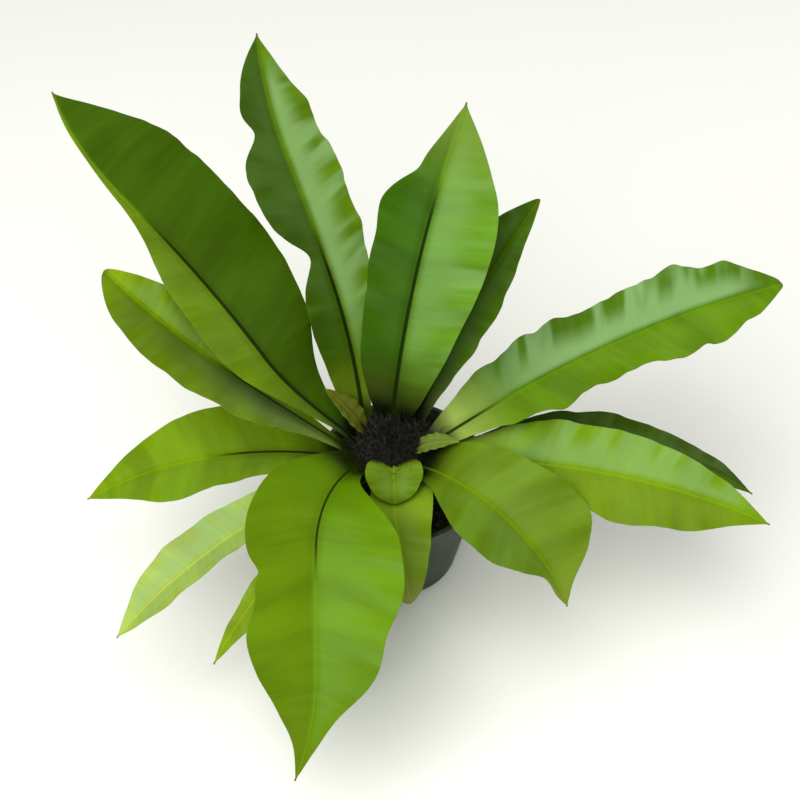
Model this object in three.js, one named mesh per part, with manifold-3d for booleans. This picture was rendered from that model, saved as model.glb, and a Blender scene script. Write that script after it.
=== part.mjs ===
// Young bird's nest fern in a round nursery pot.
// Millimetres, +Z up, the pot stands on z = 0 with its centre at the origin and the large front frond
// points along -Y. Bearings are degrees counted anticlockwise from +X as seen from above.
import * as THREE from 'three';
import Module from 'manifold-3d';
import { mergeVertices } from 'three/addons/utils/BufferGeometryUtils.js';

const RIM_RADIUS = 60; // pot, outside of the wall at the top
const BASE_RADIUS = 43; // pot, outside of the wall at the floor
const POT_HEIGHT = 105;
const POT_WALL = 1.4;
const LIP_WIDTH = 2.2; // rolled rim, beyond the wall
const LIP_DEPTH = 7;
const CHAMFER = 0.8; // broken edges of the rim and the floor
const FLOOR_THICKNESS = 1.6;
const DRAIN_HOLES = 6;
const DRAIN_RADIUS = 3.6;
const DRAIN_CIRCLE = 30;
const POT_SIDES = 56;
const SOIL_TOP = 96;
const SOIL_RINGS = [52, 45, 38, 31]; // radii of the uneven part of the soil's top
const SOIL_LUMP = 2.4; // height of its unevenness
const SOIL_SIDES = 44;
const GAP = 0.35; // between touching parts
const CROWN_X = -6; // the crown grew a little off the middle of the pot
const CROWN_FOOT = 87; // underside of the crown, inside its hole in the soil
const CROWN_FOOT_RADIUS = 23;
const CROWN_SHOULDER = [[26, 114], [28.5, 122], [28.5, 131], [26, 138], [20, 143.5]]; // radius, height
const CROWN_DISH = [[13, 145], [6, 142.5], [0, 141]]; // the same, for the dished top
const CROWN_SIDES = 32;
const SOCKET_PLAY = GAP + 0.2; // round the foot of a frond
const SOCKET_REACH = 0.4; // share of the frond's length that its socket follows
const SCALES = 96; // dry scales on the crown
const SCALE_RADIUS = 1.5;
const SCALE_FLATNESS = 0.6;
const SCALE_ROOT = 2.2; // how deep a scale is sunk in
const SCALE_LENGTH = [6, 11];
const TOP_SHARE = 0.55; // share of the scales that stand on the crown's top
const TOP_REACH = 25; // radius of the scaly top
const WALL_REACH = 27.5; // radius at which the scales of the wall are rooted
const WALL_SPAN = [137, 113]; // heights between which they stand
const TURN_STEP = 2.399963; // golden angle, spreads the scales evenly
const BLADE = 0.8; // thickness of a frond blade
const THIN_EDGE = 0.6; // least half width of a blade
const SEGMENT = 10.8; // length of one step along a frond
const FEWEST_STEPS = 8;
const COLUMNS = 7; // points across a blade
const HOOK_START = 0.7; // share of a frond's length at which its hook begins
const SEED = 20731;

const RAD = Math.PI / 180;
const SPINE_STEPS = 240;

// A frond is a midrib curve with two halves. Values with two entries go from base to tip.
// foot: bearing on the crown, radius and height above the pot's rim; length: along the midrib;
// bear: bearing of travel; turn, swing: where and how it changes; rise: slope of the midrib;
// hook: further turn of bearing towards the tip; arch: how the slope changes;
// left, right: half widths in mm at eleven even places from foot to tip, left being the left hand of travel;
// fold: how far the halves rise from flat; roll: turn about the midrib;
// wave, phase: height and start of the edge ripple, left and right; waves: number of ripples;
// blunt: the higher, the later the end is rounded off; dents: [side, place, depth, width] of notches.
const FROND = {
  turn: 1, swing: 1.5, arch: 1, fold: [26, 10], roll: [0, 0], wave: [1.5, 1.5], waves: 6, phase: [0, 1.5],
  blunt: 60, hook: 0, dents: [],
};

const FRONDS = {
  // rear left, the largest of the upright ones
  frond_rear_left: { foot: [168, 24, 26], length: 340, bear: [190, 141], turn: 0.3, swing: 1.5, hook: -30,
    rise: [58, 8], left: [6, 8, 16, 30, 38, 34, 20, 8, 3, 2, 0],
    right: [6, 14, 26, 43, 52, 60, 58, 62, 55, 38, 0], fold: [20, 14], roll: [0, 20], wave: [2, 2],
    waves: 5, colour: 0x4a6404 },
  // rear, narrow and tall
  frond_rear_tall: { foot: [148, 23, 31], length: 284, bear: [103, 120], turn: 0.4, swing: 1, hook: -25,
    rise: [66, 34], left: [7, 16, 23, 28, 29, 30, 38, 41, 29, 17, 0],
    right: [7, 8, 16, 25, 31, 31, 34, 32, 27, 16, 0], fold: [20, 12], roll: [0, 24], wave: [1, 3],
    dents: [[1, 0.77, 0.4, 0.035], [1, 0.47, 0.6, 0.05]], colour: 0x4f7008 },
  // rear centre, upright
  frond_rear_centre: { foot: [90, 16, 34], length: 240, bear: [70, 53], swing: 1, rise: [76, 57],
    left: [9, 19, 26, 29, 30, 32, 32, 33, 18, 8, 0], right: [9, 20, 28, 35, 40, 45, 47, 46, 38, 21, 0],
    fold: [20, 6], roll: [0, 20], wave: [1, 1.5], dents: [[1, 0.8, 0.12, 0.03]], colour: 0x5b8418 },
  // rear right, narrow, half behind its neighbour
  frond_rear_right: { foot: [50, 24, 28], length: 187, bear: [44, 38], rise: [62, 46],
    left: [7, 10, 14, 18, 22, 24, 25, 25, 22, 15, 6], right: [7, 10, 14, 18, 22, 24, 24, 20, 15, 9, 4],
    wave: [1, 1.6], blunt: 16, colour: 0x406203 },
  // right, long and strap shaped with a blunt end
  frond_right_long: { foot: [0, 25, 26], length: 276, bear: [22, 15], rise: [28, 4],
    left: [8, 18, 27, 31, 36, 33, 33, 36, 35, 29, 16], right: [8, 16, 27, 36, 39, 35, 36, 43, 36, 26, 10],
    fold: [28, 12], wave: [3, 3.5], waves: 7, blunt: 14, dents: [[1, 0.47, 0.12, 0.03]],
    colour: 0x739234 },
  // right, low and shaded
  frond_right_low: { foot: [-6, 28, 13], length: 236, bear: [4, -22], rise: [24, -26],
    left: [6, 8, 13, 19, 23, 24, 22, 18, 14, 9, 0], right: [6, 8, 12, 16, 20, 22, 22, 20, 15, 7, 0],
    fold: [14, 4], wave: [1, 1], colour: 0x4f6a18 },
  // right, towards the front
  frond_right_front: { foot: [-18, 25, 19], length: 244, bear: [-12, -16], rise: [22, -19],
    left: [6, 14, 21, 29, 32, 31, 30, 26, 20, 11, 0], right: [8, 14, 20, 25, 29, 37, 34, 29, 24, 11, 0],
    fold: [18, 5], roll: [16, 22], wave: [1.5, 2.5], dents: [[-1, 0.48, 0.2, 0.07]], colour: 0x809e22 },
  // front right, short and broad with a drooping tip
  frond_front_right: { foot: [-42, 25, 26], length: 159, bear: [-42, -43], rise: [36, -64],
    left: [8, 18, 28, 34, 39, 43, 46, 46, 34, 12, 0], right: [8, 12, 18, 28, 37, 41, 38, 25, 9, 7, 0],
    fold: [23, 24], roll: [14, -6], wave: [1, 1], colour: 0x7a9b1d },
  // front, small, hangs over the rim
  frond_front_hanging: { foot: [-92, 25, 19], length: 94, bear: [-84, -66], rise: [14, -76], arch: 0.8,
    left: [14, 29, 29, 27, 24, 22, 19, 16, 13, 9, 5], right: [12, 16, 18, 18, 18, 18, 17, 16, 13, 9, 5],
    wave: [1, 1], blunt: 20, colour: 0x6c8a12 },
  // front, the largest of all, arches over the rim and hangs down
  frond_front_large: { foot: [-142, 24, 27], length: 240, bear: [-146, -89], turn: 0.36, swing: 0.7,
    hook: -35, rise: [24, -52], arch: 0.8, left: [10, 16, 37, 54, 60, 60, 48, 40, 17, 6, 0],
    right: [10, 24, 42, 49, 46, 40, 45, 37, 24, 9, 0], fold: [30, 6], wave: [1, 0.8],
    dents: [[-1, 0.43, 0.12, 0.03]], colour: 0x669209 },
  // front left, narrow
  frond_front_left: { foot: [-150, 28, 18], length: 208, bear: [-147, -146], rise: [14, -40],
    left: [5, 8, 10, 12, 13, 14, 14, 14, 13, 8, 0], right: [5, 8, 12, 16, 19, 21, 22, 22, 18, 10, 0],
    wave: [1, 0.8], colour: 0xa3bf5c },
  // front left, low and mostly hidden
  frond_front_left_low: { foot: [-129, 28, 16], length: 170, bear: [-129, -129], rise: [16, -40],
    left: [4, 6, 8, 10, 12, 13, 13, 13, 10, 5, 0], right: [4, 5, 6, 7, 8, 9, 9, 8, 6, 4, 0],
    wave: [0.8, 0.8], colour: 0x799815 },
  // left
  frond_left: { foot: [-172, 28, 18], length: 192, bear: [-176, -161], rise: [21, -23],
    left: [6, 12, 20, 26, 29, 32, 35, 34, 22, 11, 0], right: [6, 9, 28, 36, 39, 40, 38, 31, 22, 11, 0],
    fold: [20, 4], roll: [10, 0], wave: [1, 0.6], colour: 0x7c9c14 },
  // left, towards the rear, with a rounded tip
  frond_left_round: { foot: [184, 27, 22], length: 218, bear: [174, 148], swing: 2, rise: [44, 38],
    left: [6, 12, 20, 30, 40, 43, 42, 40, 35, 29, 16], right: [4, 5, 7, 8, 9, 9, 8, 21, 23, 19, 10],
    roll: [12, 0], wave: [1, 1], blunt: 12, colour: 0x739a18 },
  // young fronds beside the heart
  young_frond_left: { foot: [165, 17, 34], length: 54, bear: [168, 164], rise: [66, 46],
    left: [3, 5, 7, 9, 10, 10, 9, 7, 5, 3, 0], right: [3, 5, 7, 9, 10, 10, 9, 7, 5, 3, 0],
    wave: [0.6, 0.6], colour: 0x5f6e1a },
  young_frond_right: { foot: [-30, 18, 34], length: 38, bear: [-10, -16], rise: [54, 12],
    left: [3, 5, 7, 8, 8, 8, 7, 6, 4, 2, 0], right: [3, 5, 7, 8, 8, 8, 7, 6, 4, 2, 0], wave: [0.6, 0.6],
    colour: 0x86a23a },
  young_frond_front: { foot: [-86, 18.5, 34], length: 31, bear: [-89, -85], rise: [10, -52],
    left: [12, 17, 20, 21, 21, 20, 18, 16, 13, 9, 4], right: [12, 17, 20, 21, 21, 20, 18, 16, 13, 9, 4],
    wave: [0.6, 0.6], blunt: 20, colour: 0x5d7414 },
};

const mix = (pair, s) => pair[0] + (pair[1] - pair[0]) * s;
const clamp01 = (x) => Math.min(1, Math.max(0, x));

function smooth(x) {
  const s = clamp01(x);
  return s * s * (3 - 2 * s);
}

function slopeAt(f, t) {
  return mix(f.rise, t ** f.arch) * RAD;
}

function bearingAt(f, t) {
  const sweep = mix(f.bear, Math.min(1, t / f.turn) ** f.swing);
  return (sweep + f.hook * clamp01((t - HOOK_START) / (1 - HOOK_START))) * RAD;
}

function directionAt(f, t) {
  const up = slopeAt(f, t);
  const way = bearingAt(f, t);
  return new THREE.Vector3(Math.cos(up) * Math.cos(way), Math.cos(up) * Math.sin(way), Math.sin(up));
}

// Midrib frames: point, tangent, side and upper normal at each of the fine steps.
function spineOf(f) {
  const [bearing, radius, above] = f.foot;
  const x = CROWN_X + radius * Math.cos(bearing * RAD);
  const point = new THREE.Vector3(x, radius * Math.sin(bearing * RAD), POT_HEIGHT + above);
  const frames = [];
  let before = directionAt(f, 0);
  for (let i = 0; i <= SPINE_STEPS; i += 1) {
    const t = i / SPINE_STEPS;
    const tangent = directionAt(f, t);
    if (i > 0) point.addScaledVector(before.clone().add(tangent), (0.5 * f.length) / SPINE_STEPS);
    before = tangent.clone();
    const way = bearingAt(f, t);
    const flatSide = new THREE.Vector3(-Math.sin(way), Math.cos(way), 0);
    const flatUp = tangent.clone().cross(flatSide);
    const roll = mix(f.roll, t) * RAD;
    const side = flatSide.clone().multiplyScalar(Math.cos(roll)).addScaledVector(flatUp, Math.sin(roll));
    const up = flatUp.clone().multiplyScalar(Math.cos(roll)).addScaledVector(flatSide, -Math.sin(roll));
    frames.push({ t, point: point.clone(), tangent, side, up });
  }
  return frames;
}

// Smooth curve through evenly spaced values, whose slope at each is that between its neighbours.
function curveThrough(list, t) {
  const last = list.length - 1;
  const i = Math.min(last - 1, Math.floor(t * last));
  const s = t * last - i;
  const slope = (k) => {
    const above = Math.min(last, k + 1);
    const below = Math.max(0, k - 1);
    return (list[above] - list[below]) / (above - below);
  };
  const lower = list[i] * (1 + 2 * s) * (1 - s) ** 2 + slope(i) * s * (1 - s) ** 2;
  const upper = list[i + 1] * s * s * (3 - 2 * s) + slope(i + 1) * s * s * (s - 1);
  return lower + upper;
}

function halfWidthAt(f, t, side) {
  let w = curveThrough(side > 0 ? f.left : f.right, t);
  for (const [dentSide, place, depth, width] of f.dents) {
    if (dentSide === side) w *= 1 - depth * Math.exp(-(((t - place) / width) ** 2));
  }
  return Math.max(THIN_EDGE, w * Math.sqrt(clamp01(1 - t ** f.blunt)));
}

// Height of the blade above the plain folded half, at fraction v of the half width w.
function rippleAt(f, t, side, w, v) {
  const hand = side > 0 ? 0 : 1;
  const widest = Math.max(...(side > 0 ? f.left : f.right));
  const turn = 2 * Math.PI * f.waves * t + f.phase[hand];
  const shape = Math.sin(turn) + 0.35 * Math.sin(0.58 * turn + 2);
  return f.wave[hand] * clamp01(w / widest) * smooth(t / 0.3) * v * v * shape;
}

const ribHalf = (t) => 2 - 1.4 * t;
const ribKeel = (t) => 2.2 * (1 - t) ** 1.3 + 0.15;
const ribRidge = (t) => 0.5 * (1 - t);

// Upper and lower points of a frond across place t, from its right edge to its left.
// grow enlarges the section by that much, end is -1 at the foot, 1 at the last section and 0 between.
function sectionOf(f, frame, grow, end) {
  const { t, point, tangent, side: across, up } = frame;
  const fold = mix(f.fold, t) * RAD;
  const upper = [];
  const lower = [];
  const middle = (COLUMNS - 1) / 2;
  for (let k = 0; k < COLUMNS; k += 1) {
    const side = Math.sign(k - middle);
    const w = side === 0 ? 0 : halfWidthAt(f, t, side);
    const rib = Math.min(ribHalf(t), 0.3 * w);
    const x = [0, rib, (rib + w) / 2, w][Math.abs(k - middle)];
    const spread = x + (Math.abs(k - middle) === middle ? grow : 0);
    const lift = spread * Math.sin(fold) + (side === 0 ? 0 : rippleAt(f, t, side, w, x / w));
    const centre = point.clone().addScaledVector(across, side * spread * Math.cos(fold));
    centre.addScaledVector(up, lift).addScaledVector(tangent, grow * end);
    const normal = up.clone().multiplyScalar(side === 0 ? 1 : Math.cos(fold));
    normal.addScaledVector(across, -side * Math.sin(fold));
    const onRib = side === 0 ? 1 : 0;
    upper.push(centre.clone().addScaledVector(normal, BLADE / 2 + grow + onRib * ribRidge(t)));
    lower.push(centre.clone().addScaledVector(normal, -BLADE / 2 - grow - onRib * ribKeel(t)));
  }
  return [...upper, ...lower];
}

// Triangles of a closed blade whose upper and lower face are split along the same diagonals.
function bladeIndex(last) {
  const top = (i, k) => i * 2 * COLUMNS + k;
  const under = (i, k) => top(i, k) + COLUMNS;
  const index = [];
  const quad = (a, b, c, d) => index.push(a, b, c, a, c, d);
  const edge = COLUMNS - 1;
  for (let i = 0; i < last; i += 1) {
    for (let k = 0; k < edge; k += 1) {
      quad(top(i, k), top(i + 1, k), top(i + 1, k + 1), top(i, k + 1));
      quad(under(i, k), under(i, k + 1), under(i + 1, k + 1), under(i + 1, k));
    }
    quad(under(i, 0), under(i + 1, 0), top(i + 1, 0), top(i, 0));
    quad(under(i, edge), top(i, edge), top(i + 1, edge), under(i + 1, edge));
  }
  for (let k = 0; k < edge; k += 1) {
    quad(under(0, k), top(0, k), top(0, k + 1), under(0, k + 1));
    quad(under(last, k), under(last, k + 1), top(last, k + 1), top(last, k));
  }
  return index;
}

// Closed solid of a frond, or of its first part up to the share until, enlarged by grow.
function frondGeometry(f, grow = 0, until = 1) {
  const frames = spineOf(f);
  const steps = Math.max(FEWEST_STEPS, Math.round(f.length / SEGMENT));
  const last = Math.max(2, Math.ceil(steps * until));
  const positions = [];
  for (let i = 0; i <= last; i += 1) {
    const frame = frames[Math.round((i / steps) * SPINE_STEPS)];
    const end = (i === last ? 1 : 0) - (i === 0 ? 1 : 0);
    for (const p of sectionOf(f, frame, grow, end)) positions.push(p.x, p.y, p.z);
  }
  const geometry = new THREE.BufferGeometry();
  geometry.setAttribute('position', new THREE.Float32BufferAttribute(positions, 3));
  geometry.setIndex(bladeIndex(last));
  return geometry;
}

const wasm = await Module();
wasm.setup();

function toManifold(geometry) {
  const plain = geometry.clone();
  plain.deleteAttribute('normal');
  plain.deleteAttribute('uv');
  const merged = mergeVertices(plain, 1e-4);
  return new wasm.Manifold(new wasm.Mesh({
    numProp: 3,
    vertProperties: new Float32Array(merged.attributes.position.array),
    triVerts: new Uint32Array(merged.index.array),
  }));
}

function toGeometry(solid) {
  const mesh = solid.getMesh();
  const geometry = new THREE.BufferGeometry();
  geometry.setAttribute('position', new THREE.Float32BufferAttribute(Array.from(mesh.vertProperties), 3));
  geometry.setIndex(Array.from(mesh.triVerts));
  return geometry;
}

function largestBody(solid) {
  const bodies = solid.decompose();
  return bodies.reduce((best, body) => (body.volume() > best.volume() ? body : best), bodies[0]);
}

// Surface of revolution about +Z from [radius, height] pairs that start and end on the axis.
function turned(profile, sides) {
  const lathe = new THREE.LatheGeometry(profile.map(([r, z]) => new THREE.Vector2(r, z)), sides);
  lathe.rotateX(Math.PI / 2);
  return lathe;
}

// Upright cylinder with its middle at the given place.
function post(radius, height, sides, x, y, z) {
  const geometry = new THREE.CylinderGeometry(radius, radius, height, sides);
  geometry.rotateX(Math.PI / 2);
  geometry.translate(x, y, z);
  return toManifold(geometry);
}

function makeRandom(seed) {
  let state = seed;
  return () => {
    state = (state * 1664525 + 1013904223) % 4294967296;
    return state / 4294967296;
  };
}

// Outside radius of the pot's wall at height z, and the inside one.
const potRadius = (z) => BASE_RADIUS + ((RIM_RADIUS - BASE_RADIUS) * z) / POT_HEIGHT;
const potInside = (z) => potRadius(z) - POT_WALL;

function potGeometry() {
  const lipFoot = POT_HEIGHT - LIP_DEPTH;
  const lipRadius = RIM_RADIUS + LIP_WIDTH;
  const profile = [
    [0, 0], [BASE_RADIUS - CHAMFER, 0], [potRadius(CHAMFER), CHAMFER], [potRadius(lipFoot), lipFoot],
    [potRadius(lipFoot) + LIP_WIDTH, lipFoot + CHAMFER], [lipRadius, POT_HEIGHT - CHAMFER],
    [lipRadius - CHAMFER, POT_HEIGHT], [potInside(POT_HEIGHT) + 0.6 * CHAMFER, POT_HEIGHT],
    [potInside(POT_HEIGHT), POT_HEIGHT - CHAMFER], [potInside(FLOOR_THICKNESS), FLOOR_THICKNESS],
    [0, FLOOR_THICKNESS],
  ];
  let pot = toManifold(turned(profile, POT_SIDES));
  for (let i = 0; i < DRAIN_HOLES; i += 1) {
    const angle = (2 * Math.PI * (i + 0.5)) / DRAIN_HOLES;
    const x = DRAIN_CIRCLE * Math.cos(angle);
    const y = DRAIN_CIRCLE * Math.sin(angle);
    pot = pot.subtract(post(DRAIN_RADIUS, 4 * FLOOR_THICKNESS, 10, x, y, FLOOR_THICKNESS / 2));
  }
  return toGeometry(pot);
}

function soilGeometry() {
  const low = FLOOR_THICKNESS + GAP;
  const brim = SOIL_TOP - 1;
  const profile = [
    [0, low], [potInside(low) - GAP, low], [potInside(brim) - GAP, brim],
    ...SOIL_RINGS.map((r) => [r, SOIL_TOP - 0.3]), [CROWN_FOOT_RADIUS + 4, SOIL_TOP], [0, SOIL_TOP],
  ];
  const random = makeRandom(SEED + 5);
  const lump = turned(profile, SOIL_SIDES);
  const p = lump.attributes.position;
  const lumps = new Map();
  for (let i = 0; i < p.count; i += 1) {
    const r = Math.hypot(p.getX(i), p.getY(i));
    const uneven = p.getZ(i) > brim && r > SOIL_RINGS[3] - 1 && r < SOIL_RINGS[0] + 1;
    if (!uneven) continue;
    const place = `${Math.round(20 * p.getX(i))} ${Math.round(20 * p.getY(i))}`;
    if (!lumps.has(place)) lumps.set(place, SOIL_LUMP * (random() - 0.4));
    p.setZ(i, p.getZ(i) + lumps.get(place));
  }
  const depth = 2 * (SOIL_TOP - CROWN_FOOT + GAP);
  const hole = post(CROWN_FOOT_RADIUS + GAP, depth, 40, CROWN_X, 0, CROWN_FOOT - GAP + depth / 2);
  return toGeometry(toManifold(lump).subtract(hole));
}

// A dry scale: a small pointed cone, sunk in at its root and leaning outwards.
function scaleSolid(i, random) {
  const around = TURN_STEP * i + 0.5 * random();
  const along = (i + 0.5) / SCALES;
  const onTop = along < TOP_SHARE;
  const inward = Math.sqrt(along / TOP_SHARE);
  const down = (along - TOP_SHARE) / (1 - TOP_SHARE);
  const r = onTop ? TOP_REACH * inward : WALL_REACH;
  const z = onTop ? CROWN_DISH[0][1] - 2 - 0.006 * r * r : mix(WALL_SPAN, down);
  const length = mix(SCALE_LENGTH, random());
  const scale = new THREE.ConeGeometry(SCALE_RADIUS, length, 3);
  scale.translate(0, length / 2 - SCALE_ROOT, 0);
  scale.scale(1, 1, SCALE_FLATNESS);
  const out = onTop ? 0.25 + 0.5 * inward : 0.9;
  const aim = new THREE.Vector3(
    Math.cos(around) * out + 0.5 * (random() - 0.5),
    Math.sin(around) * out + 0.5 * (random() - 0.5),
    onTop ? 0.9 : 0.7,
  ).normalize();
  scale.applyQuaternion(new THREE.Quaternion().setFromUnitVectors(new THREE.Vector3(0, 1, 0), aim));
  scale.translate(CROWN_X + r * Math.cos(around), r * Math.sin(around), z);
  return toManifold(scale);
}

// Squat fibrous crown: a barrel with a dished top, dry scales, and a socket for every frond foot.
function crownGeometry(fronds) {
  const foot = [[0, CROWN_FOOT], [CROWN_FOOT_RADIUS, CROWN_FOOT], [CROWN_FOOT_RADIUS, SOIL_TOP + 2]];
  const body = turned([...foot, ...CROWN_SHOULDER, ...CROWN_DISH], CROWN_SIDES);
  body.translate(CROWN_X, 0, 0);
  const random = makeRandom(SEED);
  let crown = toManifold(body);
  for (let i = 0; i < SCALES; i += 1) crown = crown.add(scaleSolid(i, random));
  for (const f of fronds) {
    crown = crown.subtract(toManifold(frondGeometry(f, SOCKET_PLAY, SOCKET_REACH)));
  }
  return toGeometry(largestBody(crown));
}

function addMesh(group, name, geometry, colour, roughness) {
  const flat = geometry.index ? geometry.toNonIndexed() : geometry;
  flat.computeVertexNormals();
  const material = new THREE.MeshStandardMaterial({ color: colour, roughness, metalness: 0 });
  const mesh = new THREE.Mesh(flat, material);
  mesh.name = name;
  group.add(mesh);
}

const named = Object.entries(FRONDS).map(([name, given]) => [name, { ...FROND, ...given }]);
const fern = new THREE.Group();
fern.name = 'birds_nest_fern';
addMesh(fern, 'pot', potGeometry(), 0x41503b, 0.55);
addMesh(fern, 'soil', soilGeometry(), 0x2b2117, 0.95);
addMesh(fern, 'crown', crownGeometry(named.map(([, f]) => f)), 0x14190c, 0.9);
for (const [name, f] of named) addMesh(fern, name, frondGeometry(f), f.colour, 0.4);

export default fern;
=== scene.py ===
"""Young bird's nest fern in a round nursery pot.

Every piece is worked out in millimetres in the frame's own axes and put into its mesh in metres.
A frond is a midrib curve with two waved halves; the crown is a mound with dry scales and fibres.
"""

import math

import bpy
import numpy as np
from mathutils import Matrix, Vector


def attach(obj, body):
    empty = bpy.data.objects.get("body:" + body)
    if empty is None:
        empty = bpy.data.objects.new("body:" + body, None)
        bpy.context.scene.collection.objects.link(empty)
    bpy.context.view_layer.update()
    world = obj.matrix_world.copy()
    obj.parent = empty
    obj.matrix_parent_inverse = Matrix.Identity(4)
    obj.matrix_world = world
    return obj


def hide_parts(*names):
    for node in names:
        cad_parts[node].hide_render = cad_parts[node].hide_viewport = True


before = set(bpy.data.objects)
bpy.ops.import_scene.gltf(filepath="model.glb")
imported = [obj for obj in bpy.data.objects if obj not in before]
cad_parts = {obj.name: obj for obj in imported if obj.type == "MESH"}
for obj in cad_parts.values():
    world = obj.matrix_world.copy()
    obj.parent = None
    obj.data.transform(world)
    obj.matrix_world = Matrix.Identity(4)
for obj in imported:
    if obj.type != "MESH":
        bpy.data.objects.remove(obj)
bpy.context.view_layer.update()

# Driving dimensions in millimetres, the same as in the part.
MM = 0.001
RIM_RADIUS = 60.0
BASE_RADIUS = 43.0
POT_HEIGHT = 105.0
POT_WALL = 1.4
LIP_WIDTH = 2.2
LIP_DEPTH = 7.0
FLOOR_THICKNESS = 1.6
DRAIN_HOLES = 6
DRAIN_RADIUS = 3.6
DRAIN_CIRCLE = 30.0
SOIL_TOP = 96.0
GAP = 0.35
CROWN_X = -6.0
BLADE = 0.8
THIN_EDGE = 0.6
SPINE_STEPS = 240
HOOK_START = 0.7
GOLDEN_TURN = 2.399963
SEED = 20731

# What each value of a frond means is said at frond_spine, half_width and frond_surface.
FROND = dict(
    turn=1, swing=1.5, arch=1, fold=(26, 10), roll=(0, 0), wave=(1.5, 1.5), waves=6, phase=(0, 1.5),
    blunt=60, hook=0, dents=[])

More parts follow.
